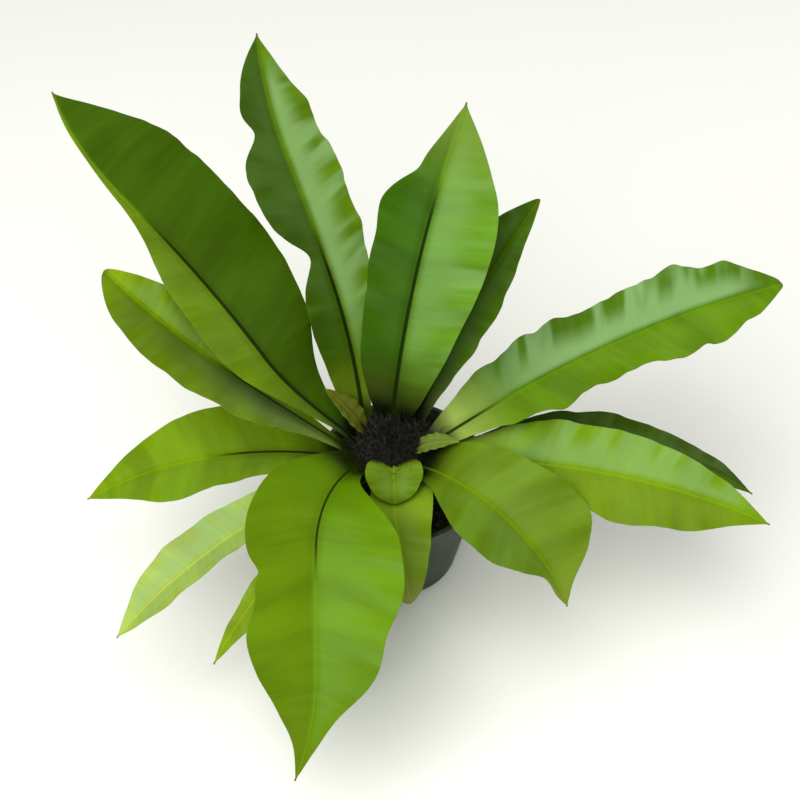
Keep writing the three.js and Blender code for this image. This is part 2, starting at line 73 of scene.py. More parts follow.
FRONDS = {
    # rear left, the largest of the upright ones
    "frond_rear_left": dict(foot_at=(168, 24, 26), length=340, bear=(190, 141), turn=0.3, swing=1.5,
        hook=-30, rise=(58, 8), left=(6, 8, 16, 30, 38, 34, 20, 8, 3, 2, 0),
        right=(6, 14, 26, 43, 52, 60, 58, 62, 55, 38, 0), fold=(20, 14), roll=(0, 20), wave=(2, 2),
        waves=5),
    # rear, narrow and tall
    "frond_rear_tall": dict(foot_at=(148, 23, 31), length=284, bear=(103, 120), turn=0.4, swing=1,
        hook=-25, rise=(66, 34), left=(7, 16, 23, 28, 29, 30, 38, 41, 29, 17, 0),
        right=(7, 8, 16, 25, 31, 31, 34, 32, 27, 16, 0), fold=(20, 12), roll=(0, 24), wave=(1, 3),
        dents=[(1, 0.77, 0.4, 0.035), (1, 0.47, 0.6, 0.05)]),
    # rear centre, upright
    "frond_rear_centre": dict(foot_at=(90, 16, 34), length=240, bear=(70, 53), swing=1, rise=(76, 57),
        left=(9, 19, 26, 29, 30, 32, 32, 33, 18, 8, 0), right=(9, 20, 28, 35, 40, 45, 47, 46, 38, 21, 0),
        fold=(20, 6), roll=(0, 20), wave=(1, 1.5), dents=[(1, 0.8, 0.12, 0.03)]),
    # rear right, narrow, half behind its neighbour
    "frond_rear_right": dict(foot_at=(50, 24, 28), length=187, bear=(44, 38), rise=(62, 46),
        left=(7, 10, 14, 18, 22, 24, 25, 25, 22, 15, 6), right=(7, 10, 14, 18, 22, 24, 24, 20, 15, 9, 4),
        wave=(1, 1.6), blunt=16),
    # right, long and strap shaped with a blunt end
    "frond_right_long": dict(foot_at=(0, 25, 26), length=276, bear=(22, 15), rise=(28, 4),
        left=(8, 18, 27, 31, 36, 33, 33, 36, 35, 29, 16),
        right=(8, 16, 27, 36, 39, 35, 36, 43, 36, 26, 10), fold=(28, 12), wave=(3, 3.5), waves=7,
        blunt=14, dents=[(1, 0.47, 0.12, 0.03)]),
    # right, low and shaded
    "frond_right_low": dict(foot_at=(-6, 28, 13), length=236, bear=(4, -22), rise=(24, -26),
        left=(6, 8, 13, 19, 23, 24, 22, 18, 14, 9, 0), right=(6, 8, 12, 16, 20, 22, 22, 20, 15, 7, 0),
        fold=(14, 4), wave=(1, 1)),
    # right, towards the front
    "frond_right_front": dict(foot_at=(-18, 25, 19), length=244, bear=(-12, -16), rise=(22, -19),
        left=(6, 14, 21, 29, 32, 31, 30, 26, 20, 11, 0), right=(8, 14, 20, 25, 29, 37, 34, 29, 24, 11, 0),
        fold=(18, 5), roll=(16, 22), wave=(1.5, 2.5), dents=[(-1, 0.48, 0.2, 0.07)]),
    # front right, short and broad with a drooping tip
    "frond_front_right": dict(foot_at=(-42, 25, 26), length=159, bear=(-42, -43), rise=(36, -64),
        left=(8, 18, 28, 34, 39, 43, 46, 46, 34, 12, 0), right=(8, 12, 18, 28, 37, 41, 38, 25, 9, 7, 0),
        fold=(23, 24), roll=(14, -6), wave=(1, 1)),
    # front, small, hangs over the rim
    "frond_front_hanging": dict(foot_at=(-92, 25, 19), length=94, bear=(-84, -66), rise=(14, -76),
        arch=0.8, left=(14, 29, 29, 27, 24, 22, 19, 16, 13, 9, 5),
        right=(12, 16, 18, 18, 18, 18, 17, 16, 13, 9, 5), wave=(1, 1), blunt=20),
    # front, the largest of all, arches over the rim and hangs down
    "frond_front_large": dict(foot_at=(-142, 24, 27), length=240, bear=(-146, -89), turn=0.36, swing=0.7,
        hook=-35, rise=(24, -52), arch=0.8, left=(10, 16, 37, 54, 60, 60, 48, 40, 17, 6, 0),
        right=(10, 24, 42, 49, 46, 40, 45, 37, 24, 9, 0), fold=(30, 6), wave=(1, 0.8),
        dents=[(-1, 0.43, 0.12, 0.03)]),
    # front left, narrow
    "frond_front_left": dict(foot_at=(-150, 28, 18), length=208, bear=(-147, -146), rise=(14, -40),
        left=(5, 8, 10, 12, 13, 14, 14, 14, 13, 8, 0), right=(5, 8, 12, 16, 19, 21, 22, 22, 18, 10, 0),
        wave=(1, 0.8)),
    # front left, low and mostly hidden
    "frond_front_left_low": dict(foot_at=(-129, 28, 16), length=170, bear=(-129, -129), rise=(16, -40),
        left=(4, 6, 8, 10, 12, 13, 13, 13, 10, 5, 0), right=(4, 5, 6, 7, 8, 9, 9, 8, 6, 4, 0),
        wave=(0.8, 0.8)),
    # left
    "frond_left": dict(foot_at=(-172, 28, 18), length=192, bear=(-176, -161), rise=(21, -23),
        left=(6, 12, 20, 26, 29, 32, 35, 34, 22, 11, 0), right=(6, 9, 28, 36, 39, 40, 38, 31, 22, 11, 0),
        fold=(20, 4), roll=(10, 0), wave=(1, 0.6)),
    # left, towards the rear, with a rounded tip
    "frond_left_round": dict(foot_at=(184, 27, 22), length=218, bear=(174, 148), swing=2, rise=(44, 38),
        left=(6, 12, 20, 30, 40, 43, 42, 40, 35, 29, 16), right=(4, 5, 7, 8, 9, 9, 8, 21, 23, 19, 10),
        roll=(12, 0), wave=(1, 1), blunt=12),
    # young fronds beside the heart
    "young_frond_left": dict(foot_at=(165, 17, 34), length=54, bear=(168, 164), rise=(66, 46),
        left=(3, 5, 7, 9, 10, 10, 9, 7, 5, 3, 0), right=(3, 5, 7, 9, 10, 10, 9, 7, 5, 3, 0),
        wave=(0.6, 0.6)),
    "young_frond_right": dict(foot_at=(-30, 18, 34), length=38, bear=(-10, -16), rise=(54, 12),
        left=(3, 5, 7, 8, 8, 8, 7, 6, 4, 2, 0), right=(3, 5, 7, 8, 8, 8, 7, 6, 4, 2, 0), wave=(0.6, 0.6)),
    "young_frond_front": dict(foot_at=(-86, 18.5, 34), length=31, bear=(-89, -85), rise=(10, -52),
        left=(12, 17, 20, 21, 21, 20, 18, 16, 13, 9, 4), right=(12, 17, 20, 21, 21, 20, 18, 16, 13, 9, 4),
        wave=(0.6, 0.6), blunt=20),
}

# Look of each frond. The two colours of its halves, left and right, are 8-bit screen values: living colour
# with the light and shade that each half catches painted in; foot, tip: colour beside the crown and at the
# end; dark: share of the midrib that is dark;
# the pair for the sheen: how strongly each half, left and right, shows a painted pale sheen; crimp: height of
# the fine edge crimp;
# rib: breadth of the coloured midrib against the usual one.
LOOK = dict(foot=(79, 100, 21), tip=None, dark=0.3, painted_sheen=(0.1, 0.1), crimp=0.5, rib=0.85)
LOOKS = {
    "frond_rear_left": dict(
        halves_with_painted_light=((104, 136, 4), (56, 86, 0)), foot=(72, 110, 0), rib=1.0, dark=0.66,
        painted_sheen=(0.06, 0.0), crimp=0.3),
    "frond_rear_tall": dict(
        halves_with_painted_light=((56, 88, 0), (84, 118, 4)), foot=(104, 128, 20), rib=0.9, dark=0.52,
        painted_sheen=(0.05, 0.55), crimp=0.8),
    "frond_rear_centre": dict(
        halves_with_painted_light=((54, 96, 0), (96, 142, 30)), tip=(112, 140, 48), foot=(60, 74, 18), rib=0.9, dark=0.76,
        painted_sheen=(0.05, 0.3), crimp=0.4),
    "frond_rear_right": dict(halves_with_painted_light=((60, 92, 2), (72, 108, 6)), foot=(88, 108, 36), dark=0.34, crimp=0.6),
    "frond_right_long": dict(
        halves_with_painted_light=((74, 114, 6), (94, 132, 2)), foot=(160, 184, 84), dark=0.22, painted_sheen=(0.7, 0.05), crimp=1.2),
    "frond_right_low": dict(halves_with_painted_light=((50, 74, 0), (70, 94, 0)), foot=(100, 124, 30), dark=0.1, crimp=0.5),
    "frond_right_front": dict(
        halves_with_painted_light=((108, 146, 8), (104, 132, 2)), foot=(124, 148, 48), dark=0.0, painted_sheen=(0.36, 0.05), crimp=0.9),
    "frond_front_right": dict(
        halves_with_painted_light=((96, 126, 2), (88, 120, 2)), tip=(134, 156, 44), foot=(92, 116, 14), dark=0.0,
        painted_sheen=(0.08, 0.08), crimp=0.3),
    "frond_front_hanging": dict(
        halves_with_painted_light=((110, 138, 6), (108, 136, 6)), tip=(132, 140, 66), foot=(104, 130, 30), dark=0.16, crimp=0.3),
    "frond_front_large": dict(
        halves_with_painted_light=((94, 134, 0), (90, 122, 0)), tip=(96, 120, 8), foot=(88, 124, 0), dark=0.42, rib=0.6,
        painted_sheen=(0.08, 0.0), crimp=0.4),
    # its pale halves are mostly a painted sheen
    "frond_front_left": dict(
        halves_with_painted_light=((148, 172, 68), (160, 184, 86)), foot=(122, 150, 40), dark=0.0, painted_sheen=(0.4, 0.5), crimp=0.3),
    "frond_front_left_low": dict(halves_with_painted_light=((114, 142, 6), (120, 148, 8)), foot=(100, 130, 20), dark=0.0),
    "frond_left": dict(
        halves_with_painted_light=((106, 140, 4), (112, 144, 2)), foot=(84, 110, 4), dark=0.5, rib=0.7,
        painted_sheen=(0.04, 0.04), crimp=0.3),
    "frond_left_round": dict(
        halves_with_painted_light=((98, 126, 0), (122, 156, 12)), foot=(124, 154, 2), dark=0.56, rib=0.7,
        painted_sheen=(0.08, 0.25), crimp=0.4),
    "young_frond_left": dict(halves_with_painted_light=((104, 110, 26), (98, 104, 24)), foot=(76, 78, 18), dark=0.3, crimp=0.2),
    "young_frond_right": dict(
        halves_with_painted_light=((104, 124, 40), (108, 130, 44)), foot=(84, 98, 34), dark=0.0, painted_sheen=(0.3, 0.3), crimp=0.2),
    "young_frond_front": dict(
        halves_with_painted_light=((92, 124, 6), (90, 120, 6)), tip=(78, 104, 6), foot=(104, 128, 26), dark=0.0, crimp=0.2),
}


def paint(r, g, b):
    """Linear colour from 8-bit screen values: below 0.04045 divided by 12.92, else a power of 2.4."""
    c = np.array([r, g, b]) / 255.0
    linear = np.where(c <= 0.04045, c / 12.92, ((c + 0.055) / 1.055) ** 2.4)
    return (*(float(x) for x in linear), 1.0)


def smooth(x):
    """S curve from 0 to 1: three x squared less two x cubed, with x kept between 0 and 1."""
    s = np.clip(x, 0.0, 1.0)
    return s * s * (3.0 - 2.0 * s)


def between(pair, t):
    """Value at t on the way from the first to the second of a pair."""
    return pair[0] + (pair[1] - pair[0]) * t


def unit(v):
    """Vectors divided by their length."""
    return v / np.maximum(np.linalg.norm(v, axis=-1, keepdims=True), 1e-12)


# Meshes

def put_mesh(name, points, faces, marks=None, crease=50.0):
    """Object at the origin from points in millimetres and faces as lists of point numbers.

    marks are named values, one a point, that materials read. Edges sharper than crease stay sharp.
    """
    mesh = bpy.data.meshes.new(name)
    mesh.from_pydata((points * MM).tolist(), [], faces)
    for mark, values in (marks or {}).items():
        layer = mesh.attributes.new(mark, "FLOAT", "POINT")
        layer.data.foreach_set("value", np.ascontiguousarray(values, dtype=np.float32).ravel())
    mesh.shade_smooth()
    mesh.set_sharp_from_angle(angle=math.radians(crease))
    mesh.validate()
    piece = bpy.data.objects.new(name, mesh)
    bpy.context.scene.collection.objects.link(piece)
    return piece


def put_map(piece, u, v):
    """UV map of a piece from two values at each of its points."""
    layer = piece.data.uv_layers.new(name="UVMap")
    corner = np.empty(len(piece.data.loops), dtype=np.int32)
    piece.data.loops.foreach_get("vertex_index", corner)
    layer.data.foreach_set("uv", np.stack([u[corner], v[corner]], -1).astype(np.float32).ravel())


def skin_faces(rings, around):
    """Faces of a tube of rings of points: one square between each two neighbours, a face at each end."""
    i = np.arange(rings - 1)[:, None] * around
    k = np.arange(around)[None, :]
    after = (k + 1) % around
    squares = np.stack([i + k, i + after, i + around + after, i + around + k], -1).reshape(-1, 4)
    start = np.arange(around)[::-1]
    end = np.arange(around) + (rings - 1) * around
    return [*squares.tolist(), start.tolist(), end.tolist()]


def turned(profile, around):
    """Surface of revolution about +Z: profile point (r, z) at angle a is (r cos a, r sin a, z)."""
    a = np.linspace(0.0, 2.0 * np.pi, around, endpoint=False)
    r = profile[:, 0][:, None]
    z = profile[:, 1][:, None] + 0.0 * a
    return np.stack([r * np.cos(a), r * np.sin(a), z], -1)


def whiskers(paths, radii, sides, flat=1.0):
    """Closed slim tubes along many paths at once.

    paths[n, k] are the points of whisker n and radii[n, k] its radius there. Round each point stands a
    ring of that radius, across the path, with its second axis scaled by flat. Returns points and faces.
    """
    n, k, _ = paths.shape
    along = unit(np.gradient(paths, axis=1))
    helper = np.where(np.abs(along[..., 2:3]) < 0.9, [[[0.0, 0.0, 1.0]]], [[[1.0, 0.0, 0.0]]])
    across = unit(np.cross(helper, along))
    up = np.cross(along, across)
    a = np.linspace(0.0, 2.0 * np.pi, sides, endpoint=False)
    ring = np.cos(a)[:, None] * across[:, :, None, :] + flat * np.sin(a)[:, None] * up[:, :, None, :]
    points = paths[:, :, None, :] + radii[:, :, None, None] * ring
    one = skin_faces(k, sides)
    faces = [[q + w * k * sides for q in face] for w in range(n) for face in one]
    return points.reshape(-1, 3), faces


# Fronds

def frond_spine(f):
    """Midrib points, tangents, sides, upper normals and t at SPINE_STEPS + 1 places.

    At t the slope is rise[0] + (rise[1] - rise[0]) t^arch and the bearing is
    bear[0] + (bear[1] - bear[0]) min(1, t / turn)^swing, plus hook in even growth past HOOK_START. The
    points are the running sum of the directions from the foot, given by its bearing and radius on the
    crown and its height above the rim. Side and normal are turned about the tangent by roll.
    """
    t = np.linspace(0.0, 1.0, SPINE_STEPS + 1)
    up = np.radians(between(f["rise"], t ** f["arch"]))
    turned_by = np.minimum(1.0, t / f["turn"]) ** f["swing"]
    hooked = f["hook"] * np.clip((t - HOOK_START) / (1 - HOOK_START), 0, 1)
    way = np.radians(between(f["bear"], turned_by) + hooked)
    tangent = np.stack([np.cos(up) * np.cos(way), np.cos(up) * np.sin(way), np.sin(up)], -1)
    steps = (tangent[1:] + tangent[:-1]) * 0.5 * f["length"] / SPINE_STEPS
    bearing, radius, above = f["foot_at"]
    at = math.radians(bearing)
    foot = np.array([[CROWN_X + radius * math.cos(at), radius * math.sin(at), POT_HEIGHT + above]])
    points = foot + np.concatenate([np.zeros((1, 3)), np.cumsum(steps, 0)])
    flat_side = np.stack([-np.sin(way), np.cos(way), 0.0 * way], -1)
    flat_up = np.cross(tangent, flat_side)
    roll = np.radians(between(f["roll"], t))[:, None]
    side = flat_side * np.cos(roll) + flat_up * np.sin(roll)
    normal = flat_up * np.cos(roll) - flat_side * np.sin(roll)
    return t, points, tangent, side, normal


def curve_through(values, t):
    """Cubic curve through evenly spaced values whose slope at each is that between its neighbours."""
    w = np.array(values, float)
    slope = np.gradient(w)
    p = t * (len(w) - 1)
    i = np.minimum(np.floor(p).astype(int), len(w) - 2)
    s = p - i
    lower = w[i] * (1 + 2 * s) * (1 - s) ** 2 + slope[i] * s * (1 - s) ** 2
    return lower + w[i + 1] * s * s * (3 - 2 * s) + slope[i + 1] * s * s * (s - 1)


def half_width(f, t, side):
    """Distance from midrib to edge on one side (1 left, -1 right, seen along the frond from above).

    A curve through the eleven listed half widths; each dent takes out a bell-shaped notch, and the very
    end is rounded off by the root of 1 - t^blunt.
    """
    w = curve_through(f["left"] if side > 0 else f["right"], t)
    for dent_side, place, depth, width in f["dents"]:
        if dent_side == side:
            w = w * (1 - depth * np.exp(-(((t - place) / width) ** 2)))
    return np.maximum(THIN_EDGE, w * np.sqrt(np.clip(1 - t ** f["blunt"], 0, 1)))


ACROSS = np.array([
    0.0, 0.02, 0.045, 0.08, 0.13, 0.2, 0.29, 0.39, 0.5, 0.61, 0.72, 0.81, 0.88, 0.935, 0.975, 1.0])
RIB_HALF = (2.0, 0.6)
RIB_SHARE = 0.3
CRIMP_LENGTH = 30.0


def frond_lift(f, t, side, far, w, x, rib):
    """Height of the middle surface over the flat one, for columns t and rows far, the share of the way out.

    x sin(fold), rounded over the rib, plus the edge wave far^2 (sin u + 0.35 sin(0.58 u + 2)) with
    u = 2 pi waves t + phase, plus a fine crimp that grows with far^3 and a shallow puckering. Wave,
    crimp and puckering die out towards the foot and where the blade is narrow.
    """
    fold = np.radians(between(f["fold"], t))
    lift = (np.sqrt(x * x + rib * rib) - rib) * np.sin(fold)
    phase = np.where(side > 0, f["phase"][0], f["phase"][1])
    wave = np.where(side > 0, f["wave"][0], f["wave"][1])
    widest = np.where(side > 0, max(f["left"]), max(f["right"]))
    share = np.clip(w / widest, 0, 1) * smooth(t / 0.3)
    u = 2 * np.pi * f["waves"] * t + phase
    lift = lift + wave * share * far ** 2 * (np.sin(u) + 0.35 * np.sin(0.58 * u + 2.0))
    c = 2 * np.pi * (f["length"] / CRIMP_LENGTH) * t + 1.3 * phase
    crimp = np.sin(c + 1.1) + 0.6 * np.sin(1.63 * c + 0.4 * side) + 0.3 * np.sin(2.7 * c + 2.3)
    lift = lift + f["crimp"] * share * far ** 3 * crimp
    pucker = np.sin(0.61 * c + 2.0 * side * far) * np.sin(np.pi * far)
    return lift + 0.6 * f["crimp"] * share * pucker


def frond_surface(f):
    """Upper and lower skin of a frond on a grid of t along and v across, and what materials read.

    The middle surface is midrib + side x cos(fold) + normal lift, where x is |v| times the half width.
    The skins stand off it along its own normal by half the blade, which thins towards the edge, and by
    a bell-shaped rib with a shallow groove on each side above.
    """
    t, midrib, _, side_axis, normal = frond_spine(f)
    v = np.concatenate([-ACROSS[:0:-1], ACROSS])
    side, far = np.sign(v)[None, :], np.abs(v)[None, :]
    w = np.where(side > 0, half_width(f, t, 1)[:, None], half_width(f, t, -1)[:, None])
    t = t[:, None]
    x = far * w
    rib = np.minimum(between(RIB_HALF, t), RIB_SHARE * w)
    fold = np.radians(between(f["fold"], t))
    lift = frond_lift(f, t, side, far, w, x, rib)
    middle = midrib[:, None, :] + side_axis[:, None, :] * (side * x * np.cos(fold))[..., None]
    middle = middle + normal[:, None, :] * lift[..., None]
    skin_normal = unit(np.cross(np.gradient(middle, axis=0), np.gradient(middle, axis=1)))
    half = BLADE / 2 * (1 - 0.5 * far ** 6) + 0 * x
    bell = np.exp(-((x / rib) ** 2))
    groove = 0.18 * np.exp(-(((x - 2.4 * rib) / rib) ** 2))
    ridge = (0.75 * (1 - t) + 0.12) * bell - groove
    keel = (2.3 * (1 - t) ** 1.3 + 0.25) * bell
    upper = middle + skin_normal * (half + ridge)[..., None]
    lower = middle - skin_normal * (half + keel)[..., None]
    values = {
        "along": t * f["length"] + 0 * x, "out": x, "edge": far + 0 * x, "reach": t + 0 * x,
        "hand": smooth(0.5 + side * x / 6.0)}
    return upper, lower, values


def frond_piece(name, f):
    """One frond: upper skin and lower skin joined round the edge, closed at foot and tip."""
    upper, lower, values = frond_surface(f)
    rings = np.concatenate([upper, lower[:, ::-1]], 1)
    marks = {key: np.concatenate([val, val[:, ::-1]], 1) for key, val in values.items()}
    marks["under"] = np.concatenate([np.zeros(upper.shape[:2]), np.ones(upper.shape[:2])], 1)
    n, m, _ = rings.shape
    piece = put_mesh(name, rings.reshape(-1, 3), skin_faces(n, m), marks, crease=62)
    cross = np.linspace(0.02, 0.98, m)[None, :] + np.zeros((n, 1))
    lengthwise = values["reach"][:, :1] + np.zeros((1, m))
    put_map(piece, lengthwise.ravel(), cross.ravel())
    return piece


# Crown

CROWN_PROFILE = np.array([
    (0, 87.3), (12, 87.3), (22.6, 87.3), (22.8, 94), (23.4, 101), (25.6, 113), (28, 121), (28.2, 128),
    (27, 134), (24.4, 139), (20, 142.8), (15, 144.4), (10, 143.8), (5, 142), (0, 141)], float)
CROWN_MIDDLE = 116.0
SCALE_COUNT = 1500
FIBRE_COUNT = 520


def crown_points(around, fine):
    """The crown's mound: its profile resampled to fine points and turned, each point moved in and out by
    three crossed sine waves so that it looks packed with stalk bases."""
    s = np.linspace(0, len(CROWN_PROFILE) - 1, fine)
    i = np.arange(len(CROWN_PROFILE))
    profile = np.stack([np.interp(s, i, CROWN_PROFILE[:, 0]), np.interp(s, i, CROWN_PROFILE[:, 1])], -1)
    profile[0, 0] = profile[-1, 0] = 0.02
    points = turned(profile, around)
    a = np.linspace(0, 2 * np.pi, around, endpoint=False)[None, :]
    z = points[..., 2]
    bump = 0.9 * np.sin(9 * a + 0.25 * z) * np.sin(0.5 * z + 1) + 0.6 * np.sin(17 * a - 0.4 * z)
    bump = bump + 0.4 * np.sin(31 * a + 0.9 * z)
    above = smooth((z - 101) / 8) * smooth(points[..., 0] ** 2 + points[..., 1] ** 2)
    outward = unit(points - np.array([0, 0, CROWN_MIDDLE]))
    return points + outward * (bump * above)[..., None] + np.array([CROWN_X, 0, 0])


def crown_spots(count, random):
    """Spots on the mound by the golden angle, from the middle of the top out and down the flank:
    returns place, outward direction and angle about the crown's axis."""
    share = (np.arange(count) + 0.5) / count
    angle = GOLDEN_TURN * np.arange(count) + random.uniform(-0.2, 0.2, count)
    s = np.interp(np.sqrt(share), [0, 0.55, 0.8, 1], [13.9, 9.5, 7, 4.6])
    i = np.arange(len(CROWN_PROFILE))
    r = np.interp(s, i, CROWN_PROFILE[:, 0])
    z = np.interp(s, i, CROWN_PROFILE[:, 1])
    place = np.stack([CROWN_X + r * np.cos(angle), r * np.sin(angle), z], -1)
    out = unit(place - np.array([CROWN_X, 0, CROWN_MIDDLE]))
    return place, out, angle


def tuft(paths, radii, random, flat=1.0):
    """Three-sided strands along paths, with a random shade each and their reach from root to tip."""
    count, steps = radii.shape
    points, faces = whiskers(paths, radii, 3, flat)
    shade = np.repeat(random.uniform(0, 1, count), steps * 3)
    reach = np.tile(np.repeat(np.linspace(0, 1, steps), 3), count)
    return points, faces, {"shade": shade, "reach": reach}


def crown_scales(random):
    """Dry scales: each a flat three-sided blade that bends up from the mound, wide at its root."""
    count = SCALE_COUNT
    place, out, _ = crown_spots(count, random)
    length = random.uniform(3.0, 8.5, count)[:, None, None]
    lean = unit(out + random.normal(0, 0.45, (count, 3)) + np.array([0, 0, 0.5]))[:, None, :]
    k = np.linspace(0, 1, 5)[None, :, None]
    curl = random.normal(0, 0.35, (count, 1, 3)) * length
    paths = (place - 1.2 * out)[:, None, :] + lean * length * k + curl * k * k
    radii = random.uniform(0.45, 1.0, (count, 1)) * (1 - 0.93 * k[..., 0] ** 1.4)
    return tuft(paths, radii, random, flat=0.35)


def crown_fibres(random):
    """Loose hairs: slim three-sided tubes that curl, some across the top, some out of the flank."""
    count = FIBRE_COUNT
    place, out, angle = crown_spots(count, random)
    length = random.uniform(6.0, 17.0, count)[:, None, None]
    around = np.stack([-np.sin(angle), np.cos(angle), 0 * angle], -1)
    lean = unit(0.7 * out + random.normal(0, 0.6, (count, 1)) * around + np.array([0, 0, 0.25]))[:, None, :]
    k = np.linspace(0, 1, 9)[None, :, None]
    sway = random.normal(0, 0.3, (count, 1, 3)) * np.sin(np.pi * k * random.uniform(0.6, 2.2, (count, 1, 1)))
    paths = (place - 0.8 * out)[:, None, :] + length * (lean * k + sway * k)
    radii = random.uniform(0.12, 0.24, (count, 1)) * (1 - 0.7 * k[..., 0])
    return tuft(paths, radii, random)


def make_crown():
    """Mound, scales and fibres; together they stand for the crown's solid."""
    random = np.random.default_rng(SEED)
    around, fine = 220, 110
    mound = crown_points(around, fine)
    pieces = [put_mesh("crown_mound", mound.reshape(-1, 3), skin_faces(fine, around), crease=80)]
    for name, maker in (("crown_scales", crown_scales), ("crown_fibres", crown_fibres)):
        points, faces, marks = maker(random)
        pieces.append(put_mesh(name, points, faces, marks, crease=80))
    return pieces


# Pot and soil

RING_HEIGHTS = (74, 78)
RING_DEPTH = 0.12
CRUMB_COUNT = 1500
CRUMB_REACH = (24.0, 55.0)


def pot_radius(z):
    """Outside radius of the wall at height z."""
    return BASE_RADIUS + (RIM_RADIUS - BASE_RADIUS) * z / POT_HEIGHT


def pot_inside(z):
    """Inside radius of the wall at height z."""
    return pot_radius(z) - POT_WALL


def arc(cx, cz, r, start, end, count):
    """Points of a round corner in the profile, angles in degrees."""
    a = np.radians(np.linspace(start, end, count))
    return np.stack([cx + r * np.cos(a), cz + r * np.sin(a)], -1)


def pot_profile():
    """Closed profile of the pot from the middle of its underside out, up, over the lip and back inside:
    a tapered wall with two fine moulded rings, a rolled lip and round corners."""
    foot = POT_HEIGHT - LIP_DEPTH
    z = np.linspace(2, foot - 1.0, 90)
    ring = sum(RING_DEPTH * np.exp(-(((z - height) / 0.8) ** 2)) for height in RING_HEIGHTS)
    wall = np.stack([pot_radius(z) + ring, z], -1)
    z_in = np.linspace(POT_HEIGHT - 1.2, FLOOR_THICKNESS + 1.5, 40)
    inner = np.stack([pot_inside(z_in), z_in], -1)
    return np.concatenate([
        [(0.02, 0.0), (14, 0.0), (30, 0.0), (39, 0.0)],
        arc(BASE_RADIUS - 1.2, 1.2, 1.2, -90, -5, 7),
        wall,
        arc(pot_radius(foot) + LIP_WIDTH - 1.0, foot + 0.8, 1.0, -80, 0, 6),
        arc(RIM_RADIUS + LIP_WIDTH - 1.1, POT_HEIGHT - 1.1, 1.1, 0, 90, 8),
        arc(pot_inside(POT_HEIGHT) + 0.9, POT_HEIGHT - 0.9, 0.9, 90, 180, 6),
        inner,
        arc(pot_inside(FLOOR_THICKNESS) - 1.2, FLOOR_THICKNESS + 1.2, 1.2, 0, -90, 6),
        [(30, FLOOR_THICKNESS), (14, FLOOR_THICKNESS), (0.02, FLOOR_THICKNESS)],
    ])


def drain_cutter():
    """Short upright rods through the floor, one for each drain hole."""
    angle = 2 * np.pi * (np.arange(DRAIN_HOLES) + 0.5) / DRAIN_HOLES
    centre = np.stack([DRAIN_CIRCLE * np.cos(angle), DRAIN_CIRCLE * np.sin(angle)], -1)
    paths = np.stack([np.c_[centre, np.full(DRAIN_HOLES, h)] for h in (-2.0, 4.0)], 1)
    points, faces = whiskers(paths, np.full((DRAIN_HOLES, 2), DRAIN_RADIUS), 32)
    return put_mesh("drain_cutter", points, faces)


def make_pot():
    """Pot turned from its profile, with the drain holes cut out of its floor."""
    around = 176
    points = turned(pot_profile(), around)
    pot = put_mesh("nursery_pot", points.reshape(-1, 3), skin_faces(len(points), around), crease=40)
    cutter = drain_cutter()
    cut = pot.modifiers.new("drain holes", "BOOLEAN")
    cut.object = cutter
    cut.operation = "DIFFERENCE"
    cut.solver = "EXACT"
    bpy.context.view_layer.objects.active = pot
    pot.select_set(True)
    bpy.ops.object.modifier_apply(modifier=cut.name)
    bpy.data.objects.remove(cutter, do_unlink=True)
    return pot


def soil_height(x, y):
    """Height of the soil at a place: flat, with crossed sine waves as clods, lower at the wall."""
    r = np.hypot(x, y)
    clods = 0.5 * np.sin(0.9 * x + 1.3 * np.sin(0.5 * y)) * np.sin(0.8 * y + 0.7)
    clods = clods + 0.35 * np.sin(1.9 * x - 1.1 * y + 2) + 0.25 * np.sin(2.9 * y + 1.7 * x)
    return SOIL_TOP - 0.3 + clods - 1.2 * smooth((r - 48) / 8)


def make_plug():
    """Soil as a plug that fills the pot to a small gap, with a clodded top."""
    around, rings = 200, 70
    low = FLOOR_THICKNESS + GAP
    r = np.linspace(pot_inside(SOIL_TOP - 2) - GAP, 0.05, rings)
    top = turned(np.stack([r, 0 * r], -1), around)
    top[..., 2] = soil_height(top[..., 0], top[..., 1])
    low_part = turned(np.array([(0.05, low), (pot_inside(low) - GAP, low)]), around)
    points = np.concatenate([low_part, top])
    return put_mesh("soil_plug", points.reshape(-1, 3), skin_faces(rings + 2, around), crease=60)


def crumb_form():
    """Twenty-sided ball: a pole, a ring of five points above and one below, the other pole, and faces."""
    a = np.radians(72.0 * np.arange(5))
    half_turn = math.radians(36.0)
    above = np.stack([0.89 * np.cos(a), 0.89 * np.sin(a), np.full(5, 0.45)], -1)
    below = np.stack([0.89 * np.cos(a + half_turn), 0.89 * np.sin(a + half_turn), np.full(5, -0.45)], -1)
    ball = np.concatenate([[(0, 0, 1)], above, below, [(0, 0, -1)]])
    faces = []
    for k in range(5):
        upper, lower = 1 + k, 6 + k
        next_upper, next_lower = 1 + (k + 1) % 5, 6 + (k + 1) % 5
        faces += [(0, upper, next_upper), (upper, lower, next_upper)]
        faces += [(next_upper, lower, next_lower), (11, next_lower, lower)]
    return ball, faces


def make_crumbs():
    """Crumbs of soil, each an uneven ball pressed into the top of the plug."""
    random = np.random.default_rng(SEED + 9)
    count = CRUMB_COUNT
    a = random.uniform(0, 2 * np.pi, count)
    d = np.sqrt(random.uniform(CRUMB_REACH[0] ** 2, CRUMB_REACH[1] ** 2, count))
    x, y = d * np.cos(a), d * np.sin(a)
    size = random.uniform(0.5, 1.7, count) ** 1.3
    centre = np.stack([x, y, soil_height(x, y) + 0.1 * size], -1)
    ball, hull = crumb_form()
    lumps = ball[None] * (1 + random.normal(0, 0.22, (count, 12, 1)))
    lumps = lumps * random.uniform(0.6, 1.2, (count, 1, 3)) * size[:, None, None]
    points = (centre[:, None, :] + lumps).reshape(-1, 3)
    faces = [[q + 12 * c for q in face] for c in range(count) for face in hull]
    shade = np.repeat(random.uniform(0, 1, count), 12)
    return put_mesh("soil_crumbs", points, faces, {"shade": shade}, crease=180)


# Materials

